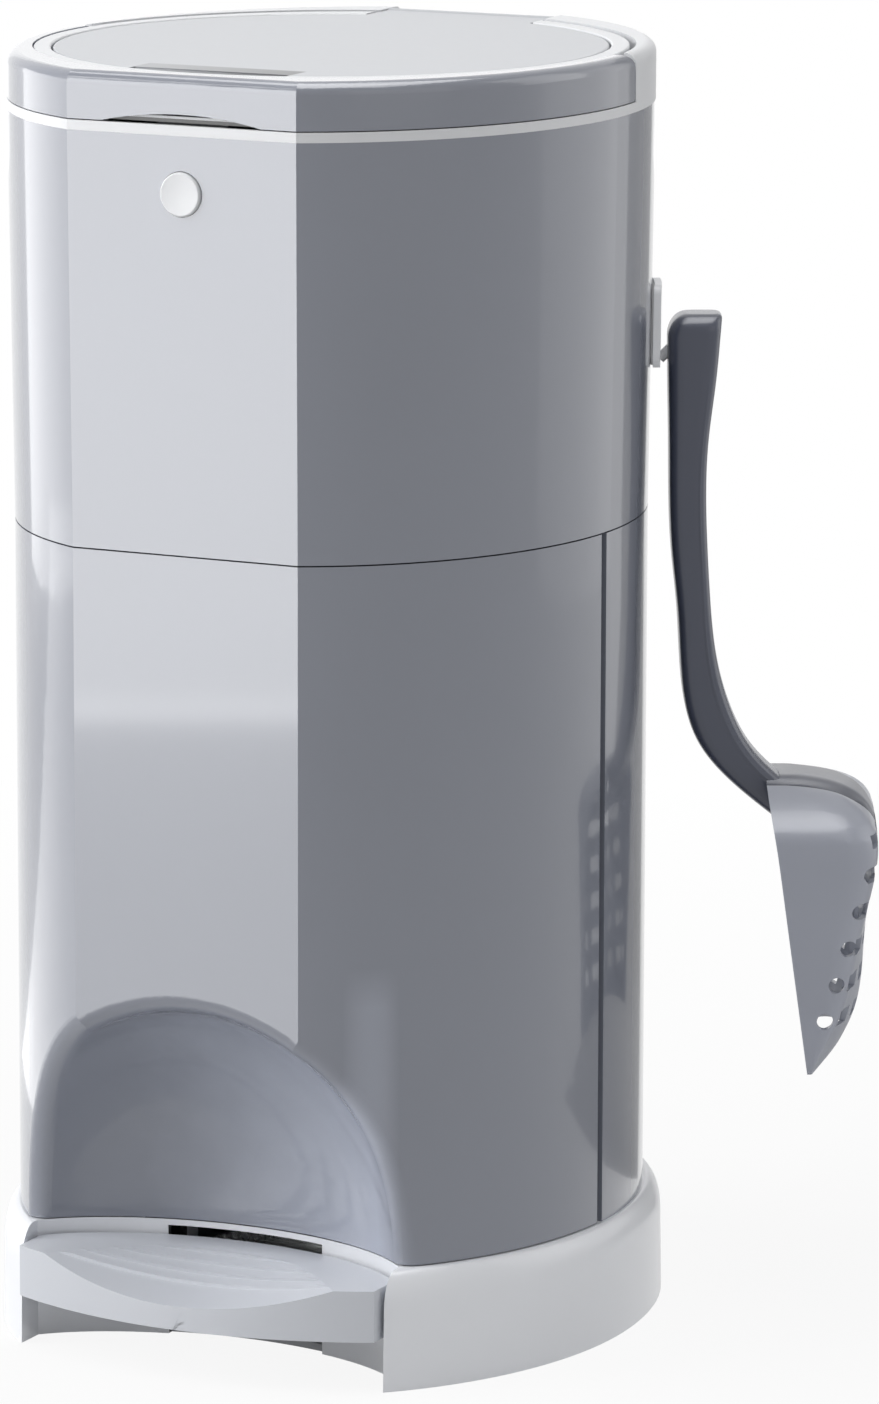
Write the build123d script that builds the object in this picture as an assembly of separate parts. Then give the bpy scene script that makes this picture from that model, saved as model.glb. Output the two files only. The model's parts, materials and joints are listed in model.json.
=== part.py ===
from build123d import *
import math
import os

# Pedal operated litter disposal pail with a scoop that hangs on its side.
# Millimetres. Floor at z = 0, front facet faces -Y, +X is the pail's left hand as it faces you.

# Body section: an oval with its own front and rear depth, cut by one flat facet at the front.
body_half_width = 128.0
body_front_depth = 144.6
body_rear_depth = 150.9
facet_depth = 132.6
body_flare = 2.0
wall = 2.5

# Levels of the stack, from the floor up.
base_top = 49.5
seam_height = 341.5
housing_top = 512.0
collar_thickness = 4.1
lid_top = 536.0
seam_gap = 0.6
part_gap = 0.5

# Base with its skirt, shoulder and pedal bay.
base_half_width = 134.0
base_front_depth = 155.6
base_rear_depth = 168.9
shoulder_drop = 15.5
shoulder_ledge = 0.8
base_wall = 2.8
floor_thickness = 3.0
skirt_draft = 0.6
rib_start = 100.0
rib_step = 36
rib_half = 1.0
rib_drop = 14.0
boss_radius = 5.0
boss_height = 14.0
boss_web = 20.0
cover_thickness = 3.0
screw_radius = 1.5
screw_length = 16.0
shell_screw_length = 15.5
shell_screw_inset = 8.5
shell_screw_bearings = (13.8, 54.6)
head_radius = 3.5
head_height = 1.6
head_recess = 0.4
foot_radius = 10.0
foot_height = 1.5
bay_half_width = 84.0
window_half_width = 36.0
window_height = 47.0

# Toe niche moulded into the door, above the pedal.
niche_half_width = 95.8
niche_depth = 58.5
niche_height = 103.5
niche_centre_y = -135.0
niche_edge_radius = 8.0

# Pedal, lever and push rod.
pedal_angle = 8.0
pedal_pin_y = -58.0
pedal_pin_z = 28.0
pedal_pin_radius = 3.0
pedal_bottom = 22.0
pedal_top = 43.5
pedal_setback = 10.6
pedal_clearance = 2.0
lever_end_z = 13.0
lever_nose_radius = 4.0
lever_plate = 3.0
lever_half_width = 30.0
lever_tail_half_width = 9.0
lever_rib_height = 8.0
rod_half_width = 6.0
rod_half_depth = 4.0
rod_slack = 0.6
ear_x = 38.0
ear_thickness = 6.0
lever_toe = 62.0
lug_half = 6.0
rod_top_chamfer = 1.5
cover_half_width = 13.0
guide_height = 6.0
pedal_bow = 19.0
tread_radius = 262.0
dish_drop = 9.35
dish_slope = 12.2
toe_z = 32.0
tread_screw_grip = 5.0
ridge_count = 5
ridge_height = 1.2
ridge_width = 2.4

# Lid hinge, shared by the lid frame and the centre lid.
hinge_inset = 16.9
hinge_z = 528.0
barrel_radius = 8.0
hinge_pin_radius = 2.5
tongue_half_width = 38.5
core_half_width = 30.0
ear_depth = 11.0
side_gap = 0.5
lug_angle = 40.0
lug_nose_radius = 3.0

# Centre lid and the ring around it.
disc_half_width = 114.0
disc_half_depth = 118.5
disc_thickness = 2.6
disc_drop = 0.6
disc_skirt = 8.0
lid_gap = 0.8
ring_half_width = 122.0
ring_front_depth = 126.6
ring_flange_top = 519.5
ring_drop = 0.3
rear_cut_reach = 32.0
arm_top = 530.5
arm_radius = 6.0
arch_height = 4.0
arch_radius = 164.0
collar_width = 8.5
collar_rail = 2.6
collar_step = 2.6
lip_depth = 8.0
block_gap = 2.8
back_drop = 4.0
catch_inset = 11.2
catch_low = 503.0
catch_lip = 6.5
finger_half = 35.0
finger_depth = 11.0
finger_drop = 3.2
finger_plate = 1.6
rim_wall = 2.2
rim_round = 5.0
rim_end_y = 20.0
rim_end_round = 8.0
rim_foot_round = 3.0
ring_rear_inset = 5.6
throat_radius = 92.0
throat_foot_radius = 81.0
throat_foot_z = 482.0
seal_radius = 97.0
seal_width = 4.0
seal_top = 525.0
dome_radius = 86.0
dome_bottom_radius = 58.0
dome_bottom_z = 506.0
filter_radius = 24.0
filter_height = 8.0

# Film cassette, its shelf and the sprung flaps under it.
shelf_top = 431.0
shelf_thickness = 3.0
shelf_bore = 92.5
spigot_depth = 10.0
cassette_outer = 100.0
cassette_inner = 86.0
cassette_height = 44.0
carrier_flange = 3.0
carrier_depth = 21.0
flap_hinge_x = 66.0
flap_span = 62.0
flap_half_length = 56.0
flap_thickness = 2.5
flap_pin_radius = 1.5
flap_pin_z = 405.2
flap_ear = 4.0
ear_gap = 0.4

# Front door: free edge on +X, barrel hinge on -X.
door_edge_y = -8.0
jamb_edge_y = -3.5
door_hinge_y = -6.0
knuckle_radius = 4.5
knuckle_reach = 5.0
door_pin_radius = 1.5
knuckle_length = 14.0
lower_hinge_z = 90.0
upper_hinge_z = 300.0
door_return = 8.0
jamb_inner_x = 118.0
jamb_lip = 10.5
pin_grip = 12.0
latch_level = 215.0
latch_half = 10.0
cutter_z = 306.0
cutter_depth = 16.0

# Release button.
button_radius = 9.0
button_z = 488.6
button_travel = 3.0
button_proud = 1.6
button_stem_radius = 5.5
button_cap = 5.0
dish_radius = 60.0
boss_reach = 16.0
spring_closed = 1.6
stem_reach = 22.0
latch_plate = 2.5
nose_reach = 4.5
latch_top = 509.0

# Scoop and its hook, set out on a plane through the side of the upper housing.
scoop_bearing = 30.15
hook_low = 399.5
hook_high = 434.2
hook_half_width = 15.0
hook_thickness = 3.0
pad_thickness = 1.0
pad_seat = 0.1
peg_radius = 2.2
peg_reach = 17.0
handle_half_width = 13.0
blade_half_width = 52.0
blade_wall = 2.2
blade_tip_z = 95.0
mouth_top_z = 207.0
mouth_top_u = 50.6
mouth_tip_u = 68.9
tray_corner = 14.0
slot_rows = 6
slot_columns = 5
first_slot_z = 118.6
slot_pitch = 15.4
slot_height = 7.0
slot_width = 13.0
column_pitch = 20.0
side_holes = 5
side_hole_radius = 3.4
first_hole_u = 75.4
hole_lean = 4.4
front_hollow = 10.0
reveal_z = 197.0
reveal_depth = 46.0
reveal_rise = 22.7
handle_round = 5.0
handle_crown = (9.4, 418.4)
handle_top_corner = (15.0, 421.4)
handle_inner_side = [
    (7.0, 411),
    (7.8, 368),
    (9.3, 321),
    (12.8, 300),
    (11.0, 280),
    (21, 239.5),
    (50.1, 207.5),
]
handle_outer_side = [
    (29.9, 421.4),
    (27.1, 390),
    (24.0, 362),
    (25.6, 310),
    (28.0, 280),
    (37.0, 250),
    (60.0, 226),
]

running_fit = 0.05
slip_fit = 0.4


def oval(half_width, front, rear):
    # Closed oval made of a front and a rear half ellipse that share their side points.
    back = EllipticalCenterArc((0, 0), half_width, rear, 0, arc_size=180)
    face = EllipticalCenterArc((0, 0), half_width, front, 180, arc_size=180)
    return make_face([back, face])


def faceted_oval(half_width, front, rear, flat):
    # The same oval with its front cut straight across at y = -flat.
    corner = math.degrees(math.asin(flat / front))
    back = EllipticalCenterArc((0, 0), half_width, rear, 0, arc_size=180)
    left = EllipticalCenterArc((0, 0), half_width, front, 180, arc_size=corner)
    right = EllipticalCenterArc((0, 0), half_width, front, 360 - corner, arc_size=corner)
    facet = Line(left @ 1, right @ 0)
    return make_face([back, left, facet, right])


def body_section(grow, rear=body_rear_depth):
    return faceted_oval(
        body_half_width + grow,
        body_front_depth + grow,
        rear + grow,
        facet_depth + grow,
    )


def prism(face, low, high):
    return Pos(0, 0, low) * extrude(face, high - low)


def block(x0, x1, y0, y1, z0, z1):
    # Box given by its limits along each axis.
    centre = Pos((x0 + x1) / 2, (y0 + y1) / 2, (z0 + z1) / 2)
    return centre * Box(x1 - x0, y1 - y0, z1 - z0)


def rod_x(radius, x0, x1, y, z):
    # Cylinder along X.
    return Pos((x0 + x1) / 2, y, z) * Rot(0, 90, 0) * Cylinder(radius, abs(x1 - x0))


def rod_y(radius, y0, y1, x, z):
    # Cylinder along Y.
    return Pos(x, (y0 + y1) / 2, z) * Rot(90, 0, 0) * Cylinder(radius, y1 - y0)


def rod_z(radius, z0, z1, x, y):
    # Cylinder along Z.
    return Pos(x, y, (z0 + z1) / 2) * Cylinder(radius, z1 - z0)


def flare_at(z):
    # How far the upper housing stands outside the lower body at a height.
    return body_flare * (z - seam_height) / (housing_top - seam_height)


def housing_column(grow, low, high):
    # Solid column of the upper housing's flared section.
    bottom = Pos(0, 0, low) * body_section(grow + flare_at(low))
    top = Pos(0, 0, high) * body_section(grow + flare_at(high))
    return loft([bottom, top], ruled=True)


def body_column(grow, low, high):
    return prism(body_section(grow), low, high)


def rounded_column(grow, low, high, radius):
    # Column of the body's section whose top edge rolls inward as a quarter round.
    sections = []
    for step in range(5):
        turn = math.radians(22.5 * step)
        height = high - radius + radius * math.sin(turn)
        sections.append(Pos(0, 0, height) * body_section(grow - radius * (1 - math.cos(turn))))
    return body_column(grow, low, high - radius) + loft(sections)


# Worked out from the sizes above.
collar_top = housing_top + collar_thickness
floor_underside = base_top - floor_thickness
shoulder_z = base_top - shoulder_drop
seam_low = seam_height - seam_gap / 2
seam_high = seam_height + seam_gap / 2
disc_top = lid_top - disc_drop
disc_underside = disc_top - disc_thickness
shelf_bottom = shelf_top - shelf_thickness
hinge_x = -(body_half_width - knuckle_radius)
facet_top_y = -(facet_depth + body_flare)
button_face_y = -(facet_depth + flare_at(button_z))
counterbore = button_cap - button_proud + button_travel + spring_closed
inner_clear = -2 * wall - 1.0
pedal_front_y = pedal_setback - base_front_depth
hinge_y = body_rear_depth - hinge_inset
rear_cut_y = hinge_y - rear_cut_reach
ring_rear_depth = hinge_y - ring_rear_inset

# The push rod's travel and the lid's lug follow from the lever's length and swing, with the lug
# moving from as far below the hinge as it ends above it.
lever_swing = math.radians(pedal_angle)
lug_swing = math.radians(lug_angle)
lever_fall = lever_end_z - pedal_pin_z
lever_rise = (hinge_y - pedal_pin_y) * math.sin(lever_swing) + lever_fall * (math.cos(lever_swing) - 1)
rod_travel = lever_rise / (1 + math.sin(lever_swing) / (2 * math.tan(lug_swing)))
lug_reach = rod_travel / (2 * math.sin(lug_swing))
rod_y_centre = hinge_y - lug_reach * math.cos(lug_swing)
lug_z = hinge_z - lug_reach * math.sin(lug_swing)
rod_low = lever_end_z + lever_nose_radius + rod_slack / 2
rod_high = lug_z - lug_nose_radius - rod_slack

# The hook sits square on the side of the housing, where the oval passes its bearing.
seat_grow = flare_at(hook_low) - pad_seat
bearing_cos = math.cos(math.radians(scoop_bearing))
bearing_sin = math.sin(math.radians(scoop_bearing))
scoop_x = (body_half_width + seat_grow) * bearing_cos
scoop_y = (body_rear_depth + seat_grow) * bearing_sin
scoop_turn = math.atan2(
    bearing_sin / (body_rear_depth + seat_grow), bearing_cos / (body_half_width + seat_grow)
)

wide = 1000.0
base_screw_spots = [(-90, -35), (90, -35), (-80, 90), (80, 90)]
foot_spots = [(-98, -62), (98, -62), (-70, 122), (70, 122)]
tread_screw_spots = [(-18, -104), (18, -104)]
shell_screw_spots = [
    (
        side * (body_half_width - shell_screw_inset) * math.cos(math.radians(bearing)),
        (body_rear_depth - shell_screw_inset) * math.sin(math.radians(bearing)),
    )
    for bearing in shell_screw_bearings
    for side in (-1, 1)
]


# ---------------------------------------------------------------- base


def base_oval(grow):
    return oval(base_half_width + grow, base_front_depth + grow, base_rear_depth + grow)


def shoulder_oval(share):
    # Share 0 is the skirt's own section, share 1 the ledge round the foot of the body.
    sizes = []
    for skirt, body in (
        (base_half_width, body_half_width),
        (base_front_depth, body_front_depth),
        (base_rear_depth, body_rear_depth),
    ):
        ledge = body + shoulder_ledge
        sizes.append(skirt - skirt_draft + share * (ledge - skirt + skirt_draft))
    return oval(*sizes)


def base_form():
    skirt = loft([base_oval(0), Pos(0, 0, shoulder_z) * base_oval(-skirt_draft)], ruled=True)
    sections = []
    for step in range(5):
        turn = math.radians(22.5 * step)
        height = shoulder_z + shoulder_drop * math.sin(turn)
        sections.append(Pos(0, 0, height) * shoulder_oval(1 - math.cos(turn)))
    return skirt + loft(sections)


def bay_face(grow):
    # Plan of the pedal bay: the foot of the niche, opened straight out to the front.
    arc = Pos(0, niche_centre_y) * Ellipse(niche_half_width + grow, niche_depth + grow)
    mouth = Pos(0, niche_centre_y - wide / 2) * Rectangle(2 * niche_half_width, wide)
    return (arc + mouth) & Rectangle(2 * (bay_half_width + grow), 4 * wide)


def make_base_skirt():
    form = base_form()
    low = Pos(0, 0, -1) * base_oval(-base_wall)
    high = Pos(0, 0, shoulder_z) * base_oval(-base_wall - skirt_draft)
    cavity = loft([low, high], ruled=True)
    cavity += prism(body_section(-part_gap), shoulder_z - 1, floor_underside)
    bay_wall = prism(bay_face(base_wall) - bay_face(0), -1, base_top + 1) & form
    base = form - cavity + bay_wall
    for angle in range(0, 181, rib_step):
        rib = Rot(0, 0, angle) * block(
            rib_start, wide, -rib_half, rib_half, floor_underside - rib_drop, floor_underside + 1
        )
        base += rib & form
    for x, y in base_screw_spots:
        base += rod_z(boss_radius, cover_thickness, floor_underside + 1, x, y)
        base -= rod_z(screw_radius + running_fit, 0, screw_length + 2, x, y)
    for side in (-1, 1):
        x0 = side * ear_x
        x1 = side * (ear_x + ear_thickness)
        ear = rod_x(pedal_pin_radius + 5, min(x0, x1), max(x0, x1), pedal_pin_y, pedal_pin_z)
        ear += block(
            min(x0, x1),
            max(x0, x1),
            pedal_pin_y - pedal_pin_radius - 5,
            pedal_pin_y + pedal_pin_radius + 5,
            pedal_pin_z,
            floor_underside + 1,
        )
        base += ear
    base -= prism(bay_face(0), -2, base_top + 2)
    base -= block(
        -window_half_width, window_half_width, niche_centre_y, pedal_pin_y - 8, -2, window_height
    )
    base -= rod_x(
        pedal_pin_radius + running_fit,
        -ear_x - ear_thickness,
        ear_x + ear_thickness,
        pedal_pin_y,
        pedal_pin_z,
    )
    base -= rod_slot(floor_underside - 1, base_top + 1)
    for x, y in shell_screw_spots:
        base -= rod_z(screw_radius + slip_fit, floor_underside - 1, base_top + 1, x, y)
    return base


def make_bottom_cover():
    plate = prism(base_oval(-base_wall - slip_fit), 0, cover_thickness)
    plate -= prism(bay_face(base_wall + slip_fit), -1, cover_thickness + 1)
    for x, y in base_screw_spots:
        plate -= rod_z(screw_radius + slip_fit, -1, cover_thickness + 1, x, y)
        plate -= rod_z(head_radius + slip_fit, -1, head_height + head_recess, x, y)
    for x, y in foot_spots:
        plate -= rod_z(foot_radius + slip_fit / 2, -1, foot_height, x, y)
    return plate


def make_rubber_feet():
    return [rod_z(foot_radius, 0, foot_height, x, y) for x, y in foot_spots]


def screw(x, y, head_low, length):
    # Pan head screw that points up, with a crossed recess under its head.
    head = rod_z(head_radius, head_low, head_low + head_height, x, y)
    recess = block(x - 2, x + 2, y - 0.4, y + 0.4, head_low - 1, head_low + 1)
    recess += block(x - 0.4, x + 0.4, y - 2, y + 2, head_low - 1, head_low + 1)
    return head - recess + rod_z(screw_radius, head_low + head_height, head_low + length, x, y)


def make_base_screws():
    return [screw(x, y, head_recess, screw_length) for x, y in base_screw_spots]


def make_shell_screws():
    return [
        screw(x, y, floor_underside - head_height, shell_screw_length)
        for x, y in shell_screw_spots
    ]


def rod_slot(low, high):
    # Clear way for the push rod through a plate.
    reach_x = rod_half_width + slip_fit
    reach_y = rod_half_depth + slip_fit
    return block(-reach_x, reach_x, rod_y_centre - reach_y, rod_y_centre + reach_y, low, high)


# ---------------------------------------------------------------- lower body


def body_band(low, high):
    return body_column(0, low, high) - body_column(-wall, low - 1, high + 1)


def hinge_levels():
    return (lower_hinge_z, upper_hinge_z)


def knuckle_strip(y0, y1, low, high):
    # The stretch of body wall that carries a hinge knuckle.
    return body_band(low, high) & block(-wide, 0, y0, y1, low - 1, high + 1)


def make_rear_shell():
    low = base_top
    high = seam_low
    left_edge = door_hinge_y + knuckle_reach
    behind = block(0, wide, jamb_edge_y, wide, low, high) + block(-wide, 0, left_edge, wide, low, high)
    shell = body_band(low, high) & behind
    inside = body_column(-wall / 2, low, high)
    jamb = block(jamb_inner_x, wide, jamb_edge_y, jamb_edge_y + wall, low, high)
    jamb += block(
        jamb_inner_x - wall, jamb_inner_x + 0.5, jamb_edge_y - jamb_lip, jamb_edge_y + wall, low, high
    )
    jamb += block(-wide, hinge_x + 5, left_edge, left_edge + wall, low, high)
    shell += jamb & inside
    for x, y in shell_screw_spots:
        boss = rod_z(boss_radius, low, low + boss_height, x, y)
        bearing = math.degrees(math.atan2(y, x))
        web = Rot(0, 0, bearing) * Pos(boss_web / 2, 0, 0) * Box(boss_web, 2, boss_height)
        boss += Pos(x, y, low + boss_height / 2) * web & inside
        shell += boss & inside
        shell -= rod_z(screw_radius + running_fit, low - 1, low + boss_height - 2, x, y)
    for level in hinge_levels():
        z0 = level - knuckle_length / 2
        z1 = level + knuckle_length / 2
        shell += rod_z(knuckle_radius, z0, z1, hinge_x, door_hinge_y)
        shell += knuckle_strip(door_hinge_y, left_edge + 1, z0, z1)
        shell -= rod_z(door_pin_radius + running_fit / 2, z0 - 1, z1 + 1, hinge_x, door_hinge_y)
    return shell


def niche(grow):
    # Ellipsoid that hollows the front for the toe of a shoe.
    ball = scale(Sphere(1), by=(niche_half_width + grow, niche_depth + grow, niche_height + grow))
    return Pos(0, niche_centre_y, base_top) * ball


def make_front_door():
    low = base_top + part_gap
    high = seam_low
    left_edge = door_hinge_y - knuckle_reach
    front = block(0, wide, -wide, door_edge_y, low, high) + block(-wide, 0, -wide, left_edge, low, high)
    outer = (body_column(0, low, high) & front) - niche(0)
    outer = fillet(niche_edges(outer), niche_edge_radius)
    inner = body_column(-wall, low - 1, high + 1) - niche(wall)
    door = outer - inner
    band = body_column(-wall / 2, low, high) & front
    free_edge = block(jamb_inner_x + 1, wide, door_edge_y - wall, door_edge_y, low, high)
    top_edge = prism(body_section(-wall / 2) - body_section(-wall - door_return), high - wall, high)
    door += free_edge & band
    door += top_edge & front & block(
        -wide, jamb_inner_x - wall - 2 * part_gap, -wide, door_edge_y, 0, wide
    )
    barrel = rod_z(knuckle_radius, low, high, hinge_x, door_hinge_y)
    barrel += knuckle_strip(left_edge - 1, door_hinge_y, low, high)
    for level in hinge_levels():
        reach = knuckle_length / 2 + part_gap
        z0 = level - reach
        z1 = level + reach
        barrel -= block(-wide, 0, left_edge, wide, z0, z1)
        barrel -= rod_z(
            door_pin_radius + running_fit, z0 - pin_grip - 1, z1 + pin_grip + 1, hinge_x, door_hinge_y
        )
    return door + barrel


def niche_edges(solid):
    # The edges where the niche breaks through the outer face, above the foot of the door.
    picked = []
    for edge in solid.edges():
        middle = edge @ 0.5
        reach = ((middle.X) / niche_half_width) ** 2
        reach += ((middle.Y - niche_centre_y) / niche_depth) ** 2
        reach += ((middle.Z - base_top) / niche_height) ** 2
        outside = middle.Y < -(facet_depth - 30) and middle.Z > base_top + 5
        if abs(reach - 1) < 0.02 and outside:
            picked.append(edge)
    return picked


def make_door_pins():
    reach = knuckle_length / 2 + part_gap + pin_grip
    return [
        rod_z(door_pin_radius, level - reach, level + reach, hinge_x, door_hinge_y)
        for level in hinge_levels()
    ]


def make_rod_cover():
    # Channel that keeps the bag off the push rod, from the base's floor to the shelf.
    front = rod_y_centre - rod_half_depth - 5
    outer = block(-cover_half_width, cover_half_width, front, wide, base_top, shelf_bottom)
    inner = block(
        2 - cover_half_width, cover_half_width - 2, front + 2, wide + 1, base_top - 1, shelf_bottom + 1
    )
    return (outer - inner) & body_column(inner_clear, base_top, shelf_bottom)


def make_rod_guides():
    guides = []
    front = rod_y_centre - rod_half_depth - 3
    half = cover_half_width - 2
    for level in (120.0, 250.0, 380.0):
        guide = block(-half, half, front, front + 16, level, level + guide_height)
        reach_x = rod_half_width + 0.3
        reach_y = rod_half_depth + 0.3
        guide -= block(
            -reach_x,
            reach_x,
            rod_y_centre - reach_y,
            rod_y_centre + reach_y,
            level - 1,
            level + guide_height + 1,
        )
        guides.append(guide)
    return guides


# ---------------------------------------------------------------- upper housing


def make_upper_housing():
    housing = (
        housing_column(0, seam_high, housing_top)
        - housing_column(-wall, seam_high - 1, housing_top + 1)
    )
    shelf = (
        housing_column(-wall / 2, shelf_bottom, shelf_top)
        - rod_z(shelf_bore, shelf_bottom - 1, shelf_top + 1, 0, 0)
    )
    housing += shelf
    flange = (
        body_column(-wall / 2, seam_high, seam_high + wall)
        - body_column(inner_clear, seam_high - 1, seam_high + 5)
    )
    housing += flange
    spigot = body_column(-wall - 0.2, seam_low - spigot_depth, seam_high + 1)
    spigot -= body_column(inner_clear, seam_low - spigot_depth - 1, seam_high + 2)
    housing += spigot & block(-wide, wide, 10, wide, 0, housing_top)
    housing += rod_y(
        button_radius + 2, button_face_y + wall / 2, button_face_y + boss_reach, 0, button_z
    )
    housing -= rod_y(button_radius + 0.3, button_face_y - 2, button_face_y + counterbore, 0, button_z)
    housing -= rod_y(
        button_stem_radius + running_fit, button_face_y, button_face_y + boss_reach + 1, 0, button_z
    )
    housing -= rod_slot(shelf_bottom - 1, shelf_top + 1)
    return housing


def ring_rear_oval(gap):
    # Outline that the hinge blocks keep clear of the lid ring.
    return oval(ring_half_width + gap, ring_front_depth + gap, ring_rear_depth + gap)


def make_top_collar():
    collar = prism(
        body_section(body_flare) - body_section(body_flare - collar_width), housing_top, collar_top
    )
    step = prism(
        body_section(body_flare - collar_rail) - body_section(body_flare - collar_width - 1),
        collar_top - collar_step,
        collar_top + 1,
    )
    collar -= step & block(-wide, wide, -wide, rim_end_y, 0, wide)
    lip = housing_column(-wall - 0.2, housing_top - lip_depth, housing_top + 1)
    lip -= housing_column(-2 * wall, housing_top - lip_depth - 1, housing_top + 2)
    collar += lip & block(-wide, wide, -wide, wide, 0, housing_top + 1)
    shoulder = rounded_column(body_flare, collar_top, lid_top, rim_round)
    behind = block(-wide, wide, rim_end_y + part_gap, wide, housing_top, lid_top + 1)
    blocks = (shoulder - prism(ring_rear_oval(block_gap), collar_top - 1, lid_top + 1)) & behind
    notch_half = tongue_half_width + side_gap
    blocks -= block(-notch_half, notch_half, 0, wide, collar_top, lid_top + 1)
    hollow = prism(
        body_section(body_flare - wall) - ring_rear_oval(block_gap + wall),
        housing_top - 1,
        lid_top - wall,
    )
    hollow &= block(-wide, wide, rim_end_y + part_gap + wall, wide, 0, wide)
    solid_half = notch_half + ear_depth + wall
    hollow -= block(-solid_half, solid_half, 0, wide, 0, wide)
    back = prism(
        body_section(body_flare) - body_section(body_flare - wall), collar_top - 1, hinge_z - back_drop
    )
    back &= block(-notch_half - 1, notch_half + 1, 0, wide, 0, wide)
    collar = collar + blocks + back - hollow
    collar -= rod_x(
        hinge_pin_radius + running_fit,
        -notch_half - ear_depth,
        notch_half + ear_depth,
        hinge_y,
        hinge_z,
    )
    return collar


def make_lid_hinge_pin():
    reach = tongue_half_width + side_gap + ear_depth - 0.3
    return rod_x(hinge_pin_radius, -reach, reach, hinge_y, hinge_z)


def tube_profile(points):
    # Closed profile in the XZ plane, turned into a ring round the pail's axis.
    return revolve(Plane.XZ * make_face(Polyline(points, close=True)), Axis.Z)


def make_film_cassette():
    low = shelf_top + carrier_flange
    high = low + cassette_height
    skin = 1.6
    slot = 3.0
    return tube_profile(
        [
            (cassette_inner, low),
            (cassette_outer, low),
            (cassette_outer, high),
            (cassette_inner + skin + slot, high),
            (cassette_inner + skin + slot, high - skin),
            (cassette_outer - skin, high - skin),
            (cassette_outer - skin, low + skin),
            (cassette_inner + skin, low + skin),
            (cassette_inner + skin, high - slot),
            (cassette_inner, high - slot),
        ]
    )


def make_film_pack():
    # Pleated sleeve of film, packed flat inside the cassette.
    low = shelf_top + carrier_flange + 1.9
    pleats = []
    for fold in range(6):
        z0 = low + fold * 6.0
        pleats.append(
            tube_profile(
                [
                    (88.4, z0),
                    (97.4, z0),
                    (96.4, z0 + 2.6),
                    (97.4, z0 + 5.2),
                    (88.4, z0 + 5.2),
                    (89.4, z0 + 2.6),
                ],
            ),
        )
    return pleats


def make_flap_carrier():
    low = shelf_top - carrier_depth
    outer = shelf_bore - slip_fit
    carrier = tube_profile(
        [
            (outer - wall, low),
            (outer, low),
            (outer, shelf_top),
            (cassette_outer - 1, shelf_top),
            (cassette_outer - 1, shelf_top + carrier_flange),
            (outer - wall, shelf_top + carrier_flange),
        ]
    )
    plate = rod_z(outer - wall / 2, low, low + wall, 0, 0)
    plate -= block(
        -flap_span, flap_span, -flap_half_length + 4, flap_half_length - 4, low - 1, low + wall + 1
    )
    carrier += plate
    for x in (-flap_hinge_x, flap_hinge_x):
        for y in (-flap_half_length - ear_gap - flap_ear, flap_half_length + ear_gap):
            ear = block(x - 3, x + 3, y, y + flap_ear, flap_pin_z, low + 1)
            ear += rod_y(3, y, y + flap_ear, x, flap_pin_z)
            carrier += ear
        reach = flap_half_length + ear_gap + flap_ear + 1
        carrier -= rod_y(flap_pin_radius + running_fit / 2, -reach, reach, x, flap_pin_z)
    return carrier


def make_flap(side):
    # One flap, hinged at its outer edge and closing on the centre line.
    reach = sorted((side * 0.5, side * flap_hinge_x))
    flap = block(
        reach[0], reach[1], -flap_half_length, flap_half_length, flap_pin_z, flap_pin_z + flap_thickness
    )
    lip = sorted((side * 0.5, side * 3.0))
    flap += block(
        lip[0], lip[1], -flap_half_length + 6, flap_half_length - 6, flap_pin_z - 4, flap_pin_z + 1
    )
    for rib in (-36.0, -12.0, 12.0, 36.0):
        span = sorted((side * 2.0, side * (flap_hinge_x - 4)))
        flap += block(span[0], span[1], rib - 1, rib + 1, flap_pin_z - 3, flap_pin_z + 1)
    flap += rod_y(3, -flap_half_length, flap_half_length, side * flap_hinge_x, flap_pin_z)
    reach_y = flap_half_length + 1
    return (
        flap
        - rod_y(flap_pin_radius + running_fit, -reach_y, reach_y, side * flap_hinge_x, flap_pin_z)
    )


def make_flap_pins():
    reach = flap_half_length + ear_gap + flap_ear + 5
    return [rod_y(flap_pin_radius, -reach, reach, x, flap_pin_z) for x in (-flap_hinge_x, flap_hinge_x)]


def coil(radius, wire, turns, pitch):
    # Round wire wound as a helix that climbs +Z from the origin.
    path = Helix(pitch, pitch * turns, radius)
    start = Plane(origin=path @ 0, z_dir=path % 0)
    return sweep(start * Circle(wire), path=path)


def make_flap_springs():
    springs = []
    y = flap_half_length + ear_gap + flap_ear + 0.8
    for x in (-flap_hinge_x, flap_hinge_x):
        springs.append(
            Pos(x, y, flap_pin_z) * Rot(-90, 0, 0) * coil(flap_pin_radius + 0.8, 0.4, 3, 1.1)
        )
    return springs


# ---------------------------------------------------------------- release button


def make_release_button():
    front = button_face_y - button_proud
    cap = rod_y(button_radius, front, front + button_cap, 0, button_z)
    cap = fillet(cap.faces().sort_by(Axis.Y)[0].edges(), 1.0)
    dish = Pos(0, front - dish_radius + 0.6, button_z) * Sphere(dish_radius)
    stem = rod_y(button_stem_radius, front + button_cap, button_face_y + stem_reach, 0, button_z)
    return cap - dish + stem


def make_button_latch():
    # Plate on the stem's end whose nose holds down the lid's catch.
    back = button_face_y + stem_reach
    plate = block(-14, 14, back - latch_plate, back, button_z - 8, latch_top)
    nose = block(-12, 12, back - latch_plate - nose_reach, back, latch_top - 3, latch_top)
    nose = chamfer(nose.edges().filter_by(Axis.X).group_by(Axis.Y)[0].sort_by(Axis.Z)[-1], 1.5)
    plate += nose
    return plate - rod_y(button_stem_radius, back - latch_plate - 1, back + 1, 0, button_z)


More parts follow.
